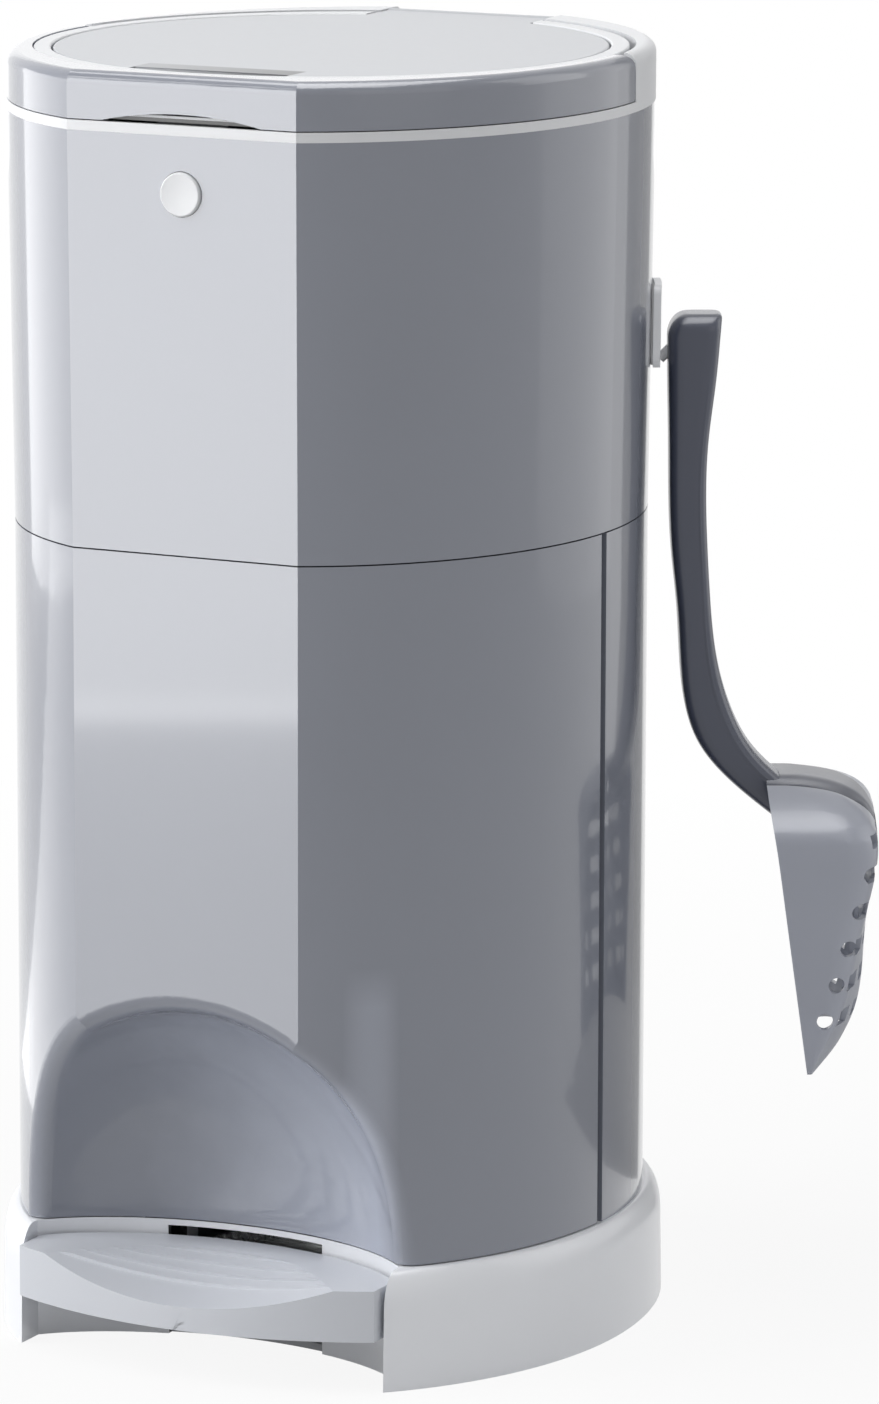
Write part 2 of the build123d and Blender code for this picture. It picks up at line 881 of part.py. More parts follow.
def make_button_spring():
    start = button_face_y - button_proud + button_cap + 0.55
    room = button_face_y + counterbore - 0.55 - start
    turns = 3
    return Pos(0, start, button_z) * Rot(-90, 0, 0) * coil(
        button_stem_radius + 1.8, 0.5, turns, room / turns
    )


# ---------------------------------------------------------------- lid frame and ring


def rim_reach():
    # Everything ahead of the rim's rear ends, which are rounded in side view.
    low = collar_top + part_gap
    profile = Pos(rim_end_y - wide / 2, (low + lid_top) / 2) * Rectangle(wide, lid_top - low)
    upper = profile.vertices().group_by(Axis.X)[-1].sort_by(Axis.Y)[-1]
    profile = fillet(upper, rim_end_round)
    lower = profile.vertices().group_by(Axis.X)[-1].sort_by(Axis.Y)[0]
    profile = fillet(lower, rim_foot_round)
    return extrude(Plane.YZ * profile, wide, both=True)


def make_rim_frame():
    low = collar_top + part_gap
    form = rounded_column(body_flare, low, lid_top, rim_round)
    opening = prism(ring_rear_oval(slip_fit), low - 1, lid_top + 1)
    hollow = prism(
        body_section(body_flare - rim_wall) - ring_rear_oval(slip_fit + rim_wall),
        low - 1,
        lid_top - rim_wall,
    )
    seat = prism(body_section(body_flare - rim_wall), low - 1, ring_flange_top + 0.2)
    frame = form - opening - hollow - seat
    frame &= rim_reach()
    arch_z = low + arch_height - arch_radius
    frame -= rod_y(arch_radius, -wide, facet_top_y + 20, 0, arch_z)
    return frame


def make_lid_ring():
    low = ring_flange_top - wall
    top = lid_top - ring_drop
    bowl = Ellipse(disc_half_width + lid_gap, disc_half_depth + lid_gap)
    ring = prism(ring_rear_oval(0) - bowl, low, top)
    ring = fillet(ring.faces().sort_by(Axis.Z)[-1].edges(), 0.8)
    ledge = prism(ring_rear_oval(0) - Circle(throat_radius), low, ring_flange_top)
    flange = prism(
        body_section(body_flare - rim_wall - slip_fit) - Circle(throat_radius), low, ring_flange_top
    )
    ring += ledge + (flange & block(-wide, wide, -wide, rim_end_y - 3, 0, wide))
    depth = ring_flange_top - throat_foot_z
    centre = Pos(0, 0, throat_foot_z + depth / 2)
    funnel = centre * Cone(throat_foot_radius + wall, throat_radius + wall, depth)
    funnel -= centre * Cone(throat_foot_radius, throat_radius, depth)
    ring += funnel
    ring -= block(-tongue_half_width - 0.8, tongue_half_width + 0.8, 0, wide, arm_top, lid_top)
    ring -= block(
        -core_half_width + 0.1 - side_gap,
        core_half_width - 0.1 + side_gap,
        rear_cut_y,
        wide,
        low - 1,
        lid_top,
    )
    for side in (-1, 1):
        x = sorted((side * (core_half_width + side_gap), side * (tongue_half_width - side_gap)))
        arm = block(x[0], x[1], rear_cut_y, hinge_y, hinge_z - 6, arm_top)
        arm += block(x[0], x[1], rear_cut_y, rear_cut_y + 12, low, arm_top)
        arm += rod_x(arm_radius, x[0], x[1], hinge_y, hinge_z)
        ring += arm
    reach = tongue_half_width + 1
    ring -= rod_x(hinge_pin_radius + running_fit, -reach, reach, hinge_y, hinge_z)
    return ring


def make_rim_catch():
    # Tab under the front of the ring with a lip for the latch nose.
    front = facet_top_y + catch_inset
    tab = block(-10, 10, front, front + wall, catch_low, ring_flange_top - wall)
    tab += block(-10, 10, front, front + catch_lip, catch_low, catch_low + wall)
    foot = block(
        -16, 16, front - 1, front + catch_lip + 6, ring_flange_top - wall - 2, ring_flange_top - wall
    )
    return tab + foot


# ---------------------------------------------------------------- centre lid


def finger_floor(back):
    # Floor of the finger recess: it falls from the lid's top to its rim.
    front = -disc_half_depth
    side = [
        (back + finger_plate, disc_top),
        (front, disc_top - finger_drop),
        (front, disc_top - finger_drop - finger_plate),
        (back + finger_plate, disc_top - finger_plate),
    ]
    slab = extrude(Plane.YZ * make_face(Polyline(*side, close=True)), finger_half - 0.5, both=True)
    slab &= prism(Ellipse(disc_half_width, disc_half_depth), disc_top - disc_skirt, lid_top)
    return slab


def make_lid_disc():
    disc = prism(Ellipse(disc_half_width, disc_half_depth), disc_underside, disc_top)
    disc = fillet(disc.faces().sort_by(Axis.Z)[-1].edges(), 1.0)
    disc += block(-tongue_half_width, tongue_half_width, 90, hinge_y, disc_underside, disc_top)
    disc += prism(
        Ellipse(disc_half_width - 0.6, disc_half_depth - 0.6) - Ellipse(
            disc_half_width - 2.6, disc_half_depth - 2.6
        ),
        disc_top - disc_skirt,
        disc_underside + 0.5,
    ) & block(-wide, wide, -wide, rear_cut_y - 4, 0, wide)
    disc += prism(Circle(seal_radius + 1) - Circle(seal_radius - 1), seal_top, disc_underside + 0.5)
    skin = rod_x(barrel_radius, -tongue_half_width, tongue_half_width, hinge_y, hinge_z)
    skin -= rod_x(arm_radius + 0.6, -wide, wide, hinge_y, hinge_z)
    keep = (
        block(-wide, wide, hinge_y, wide, hinge_z, wide)
        + block(-wide, wide, 0, wide, arm_top + 0.4, wide)
    )
    disc -= [
        rod_x(arm_radius + 0.6, side * core_half_width, side * wide, hinge_y, hinge_z)
        for side in (-1, 1)
    ]
    disc += skin & keep
    disc += rod_x(barrel_radius, -core_half_width, core_half_width, hinge_y, hinge_z)
    web = block(-lug_half, lug_half, -lug_reach, 0, 0, lug_nose_radius)
    lug = Pos(0, hinge_y, hinge_z) * Rot(lug_angle, 0, 0) * web
    lug += rod_x(lug_nose_radius, -lug_half, lug_half, rod_y_centre, lug_z)
    disc += lug
    disc -= rod_x(
        hinge_pin_radius + running_fit, -core_half_width - 1, core_half_width + 1, hinge_y, hinge_z
    )
    finger_back = finger_depth - disc_half_depth
    disc -= block(-finger_half, finger_half, -wide, finger_back, disc_top - disc_skirt - 1, lid_top)
    return disc + finger_floor(finger_back)


def make_lid_dome():
    high = disc_underside
    rim = 3.0
    return tube_profile(
        [
            (filter_radius - 4, dome_bottom_z),
            (dome_bottom_radius, dome_bottom_z),
            (dome_radius, high - rim),
            (dome_radius + 4, high - rim),
            (dome_radius + 4, high),
            (dome_radius - 2, high),
            (dome_radius - 2, high - rim),
            (dome_bottom_radius - 2, dome_bottom_z + 2),
            (filter_radius - 4, dome_bottom_z + 2),
        ]
    )


def make_carbon_filter():
    return rod_z(filter_radius, dome_bottom_z + 2, dome_bottom_z + 2 + filter_height, 0, 0)


def make_filter_cap():
    # Ring with a cross that keeps the filter down on the dome.
    z0 = dome_bottom_z + 2
    z1 = z0 + filter_height
    outer = filter_radius + 0.3
    cap = rod_z(outer + 2, z0, z1 + 2, 0, 0) - rod_z(outer, z0 - 1, z1 + 0.2, 0, 0)
    for angle in range(45, 360, 90):
        cap -= Rot(0, 0, angle) * Pos(outer / 2, 0, z1) * Box(9, 9, 8)
    return cap


def make_lid_seal():
    ring = tube_profile(
        [
            (seal_radius - seal_width / 2, ring_flange_top + 0.4),
            (seal_radius + seal_width / 2, ring_flange_top + 0.4),
            (seal_radius + seal_width / 2 + 1, seal_top),
            (seal_radius - seal_width / 2 - 1, seal_top),
        ]
    )
    return ring


# ---------------------------------------------------------------- pedal and push rod


def pedal_plan(grow):
    # Plan of the pedal: the bay's arc behind and a flatter arc in front.
    rear = Pos(0, niche_centre_y) * Ellipse(niche_half_width + grow, niche_depth + grow)
    half = bay_half_width + grow
    bow = (half**2 + pedal_bow**2) / (2 * pedal_bow)
    front = Pos(0, pedal_front_y + bow) * Circle(bow)
    behind = Pos(0, wide / 2 + pedal_front_y) * Rectangle(2 * half, wide)
    band = Pos(0, niche_centre_y - wide / 2) * Rectangle(2 * half, wide)
    return (rear + band) & front & behind


def pedal_dish(raise_by):
    # Shallow trough that slopes down to the front; it cuts the top of the tread.
    tilt = Pos(0, niche_centre_y, pedal_top - dish_drop + raise_by) * Rot(dish_slope, 0, 0)
    return tilt * Pos(0, 0, tread_radius) * Rot(90, 0, 0) * Cylinder(tread_radius, wide)


def make_pedal_tread():
    plan = pedal_plan(-pedal_clearance)
    body = prism(plan, pedal_bottom, pedal_top)
    tread = body - pedal_dish(0)
    ridge_band = body - pedal_dish(ridge_height)
    behind = Pos(0, niche_centre_y + wide / 2) * Rectangle(wide, wide)
    for index in range(ridge_count):
        half = niche_half_width - 16 + 3 * index
        depth = niche_depth - 10 - 9 * index
        ring = Pos(0, niche_centre_y) * (
            Ellipse(half, depth) - Ellipse(half - ridge_width, depth - ridge_width)
        )
        tread += ridge_band & prism(ring & behind, pedal_bottom, pedal_top)
    hollow = prism(pedal_plan(-pedal_clearance - wall), pedal_bottom - 1, pedal_top - wall)
    tread -= hollow - pedal_dish(-wall)
    notch_half = lever_half_width + slip_fit
    tread -= block(-notch_half, notch_half, niche_centre_y + 20, wide, 0, toe_z + lever_plate / 2)
    for x, y in tread_screw_spots:
        boss = rod_z(boss_radius, toe_z + lever_plate / 2, pedal_top - 1, x, y) - pedal_dish(-wall / 2)
        tread += boss
        tread -= rod_z(
            screw_radius + running_fit, toe_z, toe_z + lever_plate / 2 + tread_screw_grip, x, y
        )
    return tread


def make_tread_screws():
    length = head_height + lever_plate + tread_screw_grip - 1
    return [screw(x, y, toe_z - lever_plate / 2 - head_height, length) for x, y in tread_screw_spots]


def lever_side(under, over):
    # Side view of the lever: level under the tread, then falling to its nose.
    spine = [
        (pedal_pin_y - lever_toe, toe_z),
        (pedal_pin_y - 14, toe_z),
        (pedal_pin_y + 6, pedal_pin_z),
        (rod_y_centre, lever_end_z),
    ]
    lower = [(y, z - under) for y, z in spine]
    upper = [(y, z + over) for y, z in reversed(spine)]
    return extrude(Plane.YZ * make_face(Polyline(lower + upper, close=True)), wide, both=True)


def lever_plan(inset):
    half = lever_half_width - inset
    tail = lever_tail_half_width - inset
    toe = pedal_pin_y - lever_toe
    outline = [(-half, toe), (half, toe), (half, pedal_pin_y + 14), (tail, rod_y_centre)]
    mirrored = [(-x, y) for x, y in reversed(outline[2:])]
    return prism(make_face(Polyline(outline + mirrored, close=True)), 0, 60)


def make_pedal_lever():
    # Channel from under the tread, through the window, to the push rod.
    lever = lever_side(lever_plate / 2, lever_plate / 2) & lever_plan(0)
    behind = block(-wide, wide, pedal_pin_y, rod_y_centre - lever_nose_radius - 8, 0, 60)
    rails = lever_side(lever_plate / 2, lever_rib_height) & (lever_plan(0) - lever_plan(2.5))
    lever += rails & behind
    for share in (0.3, 0.6):
        y = pedal_pin_y + share * (rod_y_centre - pedal_pin_y)
        web = lever_side(lever_plate / 2, lever_rib_height - 2) & lever_plan(1)
        lever += web & block(-wide, wide, y - 1, y + 1, 0, 60)
    for x, y in tread_screw_spots:
        lever -= rod_z(screw_radius + slip_fit, 0, 60, x, y)
    lever += rod_x(pedal_pin_radius + 3, -ear_x + side_gap, ear_x - side_gap, pedal_pin_y, pedal_pin_z)
    lever += rod_x(
        lever_nose_radius, -lever_tail_half_width, lever_tail_half_width, rod_y_centre, lever_end_z
    )
    return lever - rod_x(pedal_pin_radius + running_fit, -wide, wide, pedal_pin_y, pedal_pin_z)


def make_pedal_pin():
    reach = ear_x + ear_thickness
    return rod_x(pedal_pin_radius, -reach, reach, pedal_pin_y, pedal_pin_z)


def make_push_rod():
    front = rod_y_centre - rod_half_depth
    rod = block(-rod_half_width, rod_half_width, front, front + 2 * rod_half_depth, rod_low, rod_high)
    rod = chamfer(rod.faces().sort_by(Axis.Z)[-1].edges().filter_by(Axis.X), rod_top_chamfer)
    foot = block(-9, 9, rod_y_centre - 8, rod_y_centre + 8, rod_low, rod_low + 3)
    foot = fillet(foot.edges().filter_by(Axis.Z), 3)
    groove = block(-2, 2, front - 1, front + 1.5, rod_low + 50, rod_high - 40)
    return rod + foot - groove


# ---------------------------------------------------------------- door fittings


def make_door_latch():
    # Snap clip on the door's free edge that wraps the front of the jamb's lip.
    lip_front = jamb_edge_y - jamb_lip
    low = latch_level - latch_half
    high = latch_level + latch_half
    bridge_y = lip_front - part_gap
    leg_x = jamb_inner_x - wall - part_gap
    clip = block(leg_x - 2.5, jamb_inner_x + 3.5, bridge_y - 2.5, bridge_y, low, high)
    clip += block(leg_x - 2.5, leg_x, bridge_y - 1, lip_front + 6, low, high)
    clip += block(jamb_inner_x + 1, jamb_inner_x + 3.5, bridge_y - 1, door_edge_y - wall, low, high)
    return clip


def make_film_cutter():
    # Guide with a slit for the film, screwed to the inside of the door.
    back = -(facet_depth - wall)
    guide = block(-30, 30, back, back + cutter_depth, cutter_z, cutter_z + 16)
    guide = chamfer(guide.edges().filter_by(Axis.Z).group_by(Axis.Y)[-1], 5)
    guide -= block(
        -24, 40, back + cutter_depth - 9, back + cutter_depth - 6, cutter_z + 6, cutter_z + 17
    )
    guide -= block(
        -24, 40, back + cutter_depth - 9, back + cutter_depth + 1, cutter_z + 6, cutter_z + 10
    )
    return guide


def make_cutter_blade():
    back = -(facet_depth - wall)
    y0 = back + cutter_depth - 9
    return block(-22, -14, y0 + 1.2, y0 + 1.8, cutter_z + 6, cutter_z + 14)


# ---------------------------------------------------------------- scoop and its hook


scoop_cos = math.cos(scoop_turn)
scoop_sin = math.sin(scoop_turn)
scoop_plane = Plane(
    origin=(scoop_x, scoop_y, 0),
    x_dir=(scoop_cos, scoop_sin, 0),
    z_dir=(scoop_sin, -scoop_cos, 0),
)
peg_start = (hook_thickness + pad_thickness, hook_low + peg_radius)


def scoop_slab(face, half):
    # Prism of a side view of the scoop, to both sides of its middle plane.
    return extrude(scoop_plane * face, half, both=True)


def hook_outline(inset):
    size = (2 * (hook_half_width - inset), hook_high - hook_low - 2 * inset)
    plane = Plane(
        origin=(scoop_x, scoop_y, (hook_low + hook_high) / 2),
        x_dir=(-scoop_sin, scoop_cos, 0),
        z_dir=(scoop_cos, scoop_sin, 0),
    )
    return extrude(plane * RectangleRounded(*size, 4), 12, both=True)


def make_hook_pad():
    pad = housing_column(pad_thickness - pad_seat, hook_low, hook_high)
    pad -= housing_column(pad_seat, hook_low - 1, hook_high + 1)
    return pad & hook_outline(1.0)


def slanted_peg(radius, start, end):
    # Round bar that climbs outward at 45 degrees in the scoop's plane.
    diagonal = math.sqrt(0.5)
    tilt = Plane(
        origin=scoop_plane.from_local_coords((peg_start[0], peg_start[1], 0)),
        z_dir=(diagonal * scoop_cos, diagonal * scoop_sin, diagonal),
    )
    return tilt * Pos(0, 0, (start + end) / 2) * Cylinder(radius, end - start)


def make_scoop_hook():
    plate = housing_column(pad_thickness + hook_thickness, hook_low, hook_high)
    plate -= housing_column(pad_thickness, hook_low - 1, hook_high + 1)
    plate = plate & hook_outline(0)
    return plate + slanted_peg(peg_radius, 0, peg_reach)


def mouth_u(z):
    # The blade's open side, a straight line that leans out towards the tip.
    share = (mouth_top_z - z) / (mouth_top_z - blade_tip_z)
    return mouth_top_u + share * (mouth_tip_u - mouth_top_u)


def tray_section(z, opening, bottom, half, bulge):
    # Section of the blade: straight sides, rounded lower corners and a bottom that bulges outward.
    plane = Plane(origin=(scoop_x, scoop_y, z), x_dir=(scoop_cos, scoop_sin, 0), z_dir=(0, 0, 1))
    radius = min(tray_corner, 0.45 * (bottom - opening))
    inner = half - radius
    upper_corner = CenterArc((bottom - radius, inner), radius, 0, 90)
    lower_corner = CenterArc((bottom - radius, -inner), radius, 270, 90)
    edges = [
        Line((opening, -half), lower_corner @ 0),
        lower_corner,
        ThreePointArc(lower_corner @ 1, (bottom + bulge, 0), upper_corner @ 0),
        upper_corner,
        Line(upper_corner @ 1, (opening, half)),
        Line((opening, half), (opening, -half)),
    ]
    return plane * make_face(edges)


def tray_form(stations, inset, opening_shift):
    sections = []
    for z, bottom, half, bulge in stations:
        opening = mouth_u(z) - opening_shift
        sections.append(tray_section(z - inset, opening, bottom - inset, half - inset, bulge))
    return loft(sections)


# Height, depth from the pail, half width and bulge of the blade's outer form, heel first.
blade_stations = [
    (219.5, 62, blade_half_width - 12, 0.5),
    (214, 82, blade_half_width - 4, 0.5),
    (204, 92, blade_half_width, 0.5),
    (188, 95.5, blade_half_width + 0.5, 0.5),
    (160, 91, blade_half_width + 0.5, 2),
    (140, 87.5, blade_half_width, 4.5),
    (120, 82.5, blade_half_width - 1, 8),
    (blade_tip_z, mouth_tip_u + 2, blade_half_width - 2, 9),
]
collar_stations = [
    (229.6, 60, blade_half_width - 12, 0.5),
    (226, 80, blade_half_width - 6, 0.5),
    (220, 89, blade_half_width - 2, 0.5),
    (210, 94.5, blade_half_width + 1.5, 0.5),
    (196, 97, blade_half_width + 2.5, 0.5),
]


def slot_centres():
    return [(column - (slot_columns - 1) / 2) * column_pitch for column in range(slot_columns)]


def make_scoop_blade():
    blade = tray_form(blade_stations, 0, 0) - tray_form(blade_stations, blade_wall, 5)
    front_radius = (blade_half_width**2 + front_hollow**2) / (2 * front_hollow)
    front = Pos(mouth_tip_u, blade_tip_z + front_hollow - front_radius, 0)
    cuts = [scoop_plane * front * Rot(0, 90, 0) * Cylinder(front_radius, 4 * tray_corner)]
    for row in range(slot_rows):
        z = first_slot_z + row * slot_pitch
        for v in slot_centres():
            cuts.append(scoop_plane * Pos(mouth_tip_u + 30, z, v) * Box(50, slot_height, slot_width))
    for row in range(side_holes):
        place = Pos(first_hole_u + row * hole_lean, first_slot_z + row * slot_pitch, 0)
        cuts.append(scoop_plane * place * Cylinder(side_hole_radius, wide))
    return blade - cuts


def make_scoop_handle():
    left = Spline(*handle_inner_side)
    right = Spline(*handle_outer_side)
    crown = ThreePointArc(left @ 0, handle_crown, handle_top_corner)
    top = Line(handle_top_corner, right @ 0)
    foot = Line(left @ 1, right @ 1)
    grip = scoop_slab(make_face([left, foot, right, top, crown]), handle_half_width)
    long_edges = grip.edges().filter_by(lambda edge: edge.length > 150)
    grip = fillet(long_edges, handle_round)
    collar = tray_form(collar_stations, 0, 0)
    reveal = Pos(mouth_top_u, reveal_z) * Ellipse(reveal_depth, reveal_rise)
    collar -= scoop_slab(reveal, wide)
    handle = grip + collar - tray_form(blade_stations, 0, 0)
    return handle - slanted_peg(peg_radius + slip_fit, 0, peg_reach + slip_fit)


# ---------------------------------------------------------------- the parts

parts = {
    "base_skirt": make_base_skirt(),
    "bottom_cover": make_bottom_cover(),
    "rubber_feet": make_rubber_feet(),
    "base_screws": make_base_screws(),
    "shell_screws": make_shell_screws(),
    "rear_shell": make_rear_shell(),
    "front_door": make_front_door(),
    "door_pins": make_door_pins(),
    "door_latch": make_door_latch(),
    "film_cutter": make_film_cutter(),
    "cutter_blade": make_cutter_blade(),
    "rod_cover": make_rod_cover(),
    "rod_guides": make_rod_guides(),
    "push_rod": make_push_rod(),
    "pedal_tread": make_pedal_tread(),
    "pedal_lever": make_pedal_lever(),
    "tread_screws": make_tread_screws(),
    "pedal_pin": make_pedal_pin(),
    "upper_housing": make_upper_housing(),
    "top_collar": make_top_collar(),
    "flap_carrier": make_flap_carrier(),
    "flap_left": make_flap(-1),
    "flap_right": make_flap(1),
    "flap_pins": make_flap_pins(),
    "flap_springs": make_flap_springs(),
    "film_cassette": make_film_cassette(),
    "film_pack": make_film_pack(),
    "release_button": make_release_button(),
    "button_latch": make_button_latch(),
    "button_spring": make_button_spring(),
    "rim_frame": make_rim_frame(),
    "lid_ring": make_lid_ring(),
    "rim_catch": make_rim_catch(),
    "lid_hinge_pin": make_lid_hinge_pin(),
    "lid_disc": make_lid_disc(),
    "lid_dome": make_lid_dome(),
    "lid_seal": make_lid_seal(),
    "carbon_filter": make_carbon_filter(),
    "filter_cap": make_filter_cap(),
    "hook_pad": make_hook_pad(),
    "scoop_hook": make_scoop_hook(),
    "scoop_handle": make_scoop_handle(),
    "scoop_blade": make_scoop_blade(),
}

os.makedirs("parts", exist_ok=True)
for name, shape in parts.items():
    pieces = shape if isinstance(shape, list) else [shape]
    solids = [solid for piece in pieces for solid in piece.solids()]
    export_step(Compound(children=solids), f"parts/{name}.step")
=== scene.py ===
import bmesh
import bpy
import json
import math
import numpy as np
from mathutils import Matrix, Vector


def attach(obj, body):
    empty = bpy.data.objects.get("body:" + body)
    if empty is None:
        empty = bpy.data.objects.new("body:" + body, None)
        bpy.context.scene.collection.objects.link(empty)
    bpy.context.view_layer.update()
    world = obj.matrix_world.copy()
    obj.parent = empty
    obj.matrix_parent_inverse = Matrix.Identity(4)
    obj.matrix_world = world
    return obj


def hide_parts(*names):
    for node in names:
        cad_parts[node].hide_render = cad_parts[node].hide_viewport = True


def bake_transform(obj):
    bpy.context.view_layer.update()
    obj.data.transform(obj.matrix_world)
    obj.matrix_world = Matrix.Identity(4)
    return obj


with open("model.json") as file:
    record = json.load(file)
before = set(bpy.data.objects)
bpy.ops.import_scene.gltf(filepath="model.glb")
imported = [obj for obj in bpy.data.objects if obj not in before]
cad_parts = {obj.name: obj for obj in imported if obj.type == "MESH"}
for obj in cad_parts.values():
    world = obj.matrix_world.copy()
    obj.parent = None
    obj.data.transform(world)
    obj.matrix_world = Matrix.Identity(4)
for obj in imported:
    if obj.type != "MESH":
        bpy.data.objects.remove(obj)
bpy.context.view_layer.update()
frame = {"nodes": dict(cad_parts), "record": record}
nodes = frame["nodes"]


class Val:
    # wraps a shader socket so that sums and products read as plain expressions
    def __init__(self, tree, socket):
        self.tree = tree
        self.socket = socket

    def math(self, operation, *others, flip=False):
        node = self.tree.nodes.new("ShaderNodeMath")
        node.operation = operation
        terms = [self, *others]
        if flip:
            terms.reverse()
        for slot, term in zip(node.inputs, terms):
            if isinstance(term, Val):
                self.tree.links.new(term.socket, slot)
            else:
                slot.default_value = term
        return Val(self.tree, node.outputs[0])

    def __add__(self, other):
        return self.math("ADD", other)

    def __radd__(self, other):
        return self.math("ADD", other)

    def __sub__(self, other):
        return self.math("SUBTRACT", other)

    def __rsub__(self, other):
        return self.math("SUBTRACT", other, flip=True)

    def __mul__(self, other):
        return self.math("MULTIPLY", other)

    def __rmul__(self, other):
        return self.math("MULTIPLY", other)

    def __truediv__(self, other):
        return self.math("DIVIDE", other)

    def __gt__(self, other):
        return self.math("GREATER_THAN", other)

    def __lt__(self, other):
        return self.math("LESS_THAN", other)

    def clamp(self):
        return self.math("MAXIMUM", 0.0).math("MINIMUM", 1.0)


class Finish:
    # one node material; make() adds any node, paint() feeds the shader
    def __init__(self, name, material=None):
        self.material = material or bpy.data.materials.new(name)
        self.material.use_nodes = True
        self.tree = self.material.node_tree
        self.shader = self.tree.nodes["Principled BSDF"]

    def make(self, kind, settings=None, **sockets):
        node = self.tree.nodes.new("ShaderNode" + kind)
        for key, value in (settings or {}).items():
            if key == "stops":
                for index, (place, tone) in enumerate(value):
                    stop = node.color_ramp.elements[index] if index < 2 else node.color_ramp.elements.new(place)
                    stop.position = place
                    stop.color = tone
            else:
                setattr(node, key, value)
        for key, value in sockets.items():
            self.plug(node.inputs[int(key[1:])] if key[0] == "i" and key[1:].isdigit() else node.inputs[key], value)
        return node

    def plug(self, socket, value):
        if isinstance(value, Val):
            self.tree.links.new(value.socket, socket)
        else:
            socket.default_value = value

    def out(self, node, name=0):
        return Val(self.tree, node.outputs[name])

    def place(self):
        return self.out(self.make("TexCoord"), "Object")

    def noise(self, scale, detail=2.0, rough=0.5, stretch=None):
        where = self.place()
        if stretch:
            where = self.out(self.make("Mapping", Vector=where, Scale=stretch))
        return self.out(self.make("TexNoise", None, Vector=where, Scale=scale, Detail=detail, Roughness=rough))

    def blendTones(self, factor, first, second):
        mix = self.make("Mix", {"data_type": "RGBA"}, i0=factor, i6=(*first, 1.0), i7=(*second, 1.0))
        return self.out(mix, 2)

    def bump(self, height, strength, distance):
        node = self.make("Bump", None, Height=height, Strength=strength, Distance=distance)
        return self.out(node)

    def paint(self, **inputs):
        for name, value in inputs.items():
            self.plug(self.shader.inputs[name.replace("_", " ")], value)
        return self


def tone(colour, factor):
    return tuple(min(1.0, part * factor) for part in colour)


def along(finish, direction, anchor=(0, 0, 0)):
    # how far a point lies from the anchor in one direction, in metres
    gap = finish.out(finish.make("VectorMath", {"operation": "SUBTRACT"}, i0=finish.place(), i1=anchor), "Vector")
    reach = finish.make("VectorMath", {"operation": "DOT_PRODUCT"}, i0=gap, i1=direction)
    return finish.out(reach, "Value")


def mouldedPlastic(name, look):
    # moulded plastic: faint flow mottling, orange peel, fine handling marks in the gloss
    finish = Finish(name)
    colour = look["colour"]
    mottle = finish.noise(look.get("mottleScale", 14.0), 3.0)
    marks = finish.noise(260.0, 4.0, 0.7, stretch=(1.0, 1.0, 0.12))
    peel = finish.noise(look.get("peelScale", 420.0), 1.0)
    rough = look["roughness"] + (marks - 0.5) * look.get("markDepth", 0.06) + (mottle - 0.5) * 0.04
    finish.paint(
        Base_Color=finish.blendTones(mottle, tone(colour, 0.975), tone(colour, 1.025)),
        Roughness=rough.clamp(),
        Normal=finish.bump(peel + marks * 0.3, look.get("peel", 0.05), 0.0004),
        Coat_Weight=look.get("coat", 0.0),
        Coat_Roughness=look.get("coatRoughness", 0.05),
        IOR=look.get("ior", 1.47),
        Specular_IOR_Level=look.get("specular", 0.5),
    )
    return finish.material


plasticLooks = {
    "bodyGrey": {"colour": (0.228, 0.243, 0.287), "roughness": 0.2, "coat": 0.8, "coatRoughness": 0.06,
                 "specular": 0.4, "peel": 0.03},
    "baseGrey": {"colour": (0.83, 0.845, 0.88), "roughness": 0.3, "coat": 0.3},
    "pedalGrey": {"colour": (0.59, 0.61, 0.655), "roughness": 0.38, "coat": 0.15},
    "collarWhite": {"colour": (0.76, 0.77, 0.79), "roughness": 0.4, "specular": 0.35},
    "discGrey": {"colour": (0.47, 0.485, 0.515), "roughness": 0.36, "coat": 0.1},
    "handleSlate": {"colour": (0.045, 0.053, 0.085), "roughness": 0.38, "coat": 0.5, "coatRoughness": 0.12},
    "bladeGrey": {"colour": (0.385, 0.405, 0.47), "roughness": 0.34, "coat": 0.2},
    "innerGrey": {"colour": (0.32, 0.33, 0.35), "roughness": 0.5},
    "filmBlue": {"colour": (0.58, 0.68, 0.78), "roughness": 0.35, "peel": 0.3},
    "sealGrey": {"colour": (0.30, 0.31, 0.33), "roughness": 0.6},
    "footRubber": {"colour": (0.035, 0.035, 0.038), "roughness": 0.75, "peel": 0.4},
    "padFoam": {"colour": (0.72, 0.72, 0.72), "roughness": 0.8, "peel": 0.5},
}
finishes = {name: mouldedPlastic(name, look) for name, look in plasticLooks.items()}


def platedSteel(name):
    finish = Finish(name)
    grain = finish.noise(500.0, 3.0, 0.6, stretch=(0.05, 1.0, 1.0))
    cloud = finish.noise(30.0, 2.0)
    finish.paint(
        Base_Color=finish.blendTones(cloud, (0.55, 0.56, 0.57), (0.66, 0.66, 0.65)),
        Metallic=1.0,
        Roughness=(0.28 + (grain - 0.5) * 0.16).clamp(),
        Normal=finish.bump(grain, 0.1, 0.0003),
    )
    return finish.material


def carbonFelt(name):
    finish = Finish(name)
    grain = finish.noise(900.0, 4.0, 0.7)
    finish.paint(
        Base_Color=finish.blendTones(grain, (0.012, 0.012, 0.013), (0.05, 0.05, 0.052)),
        Roughness=0.95,
        Normal=finish.bump(grain, 0.6, 0.0008),
    )
    return finish.material


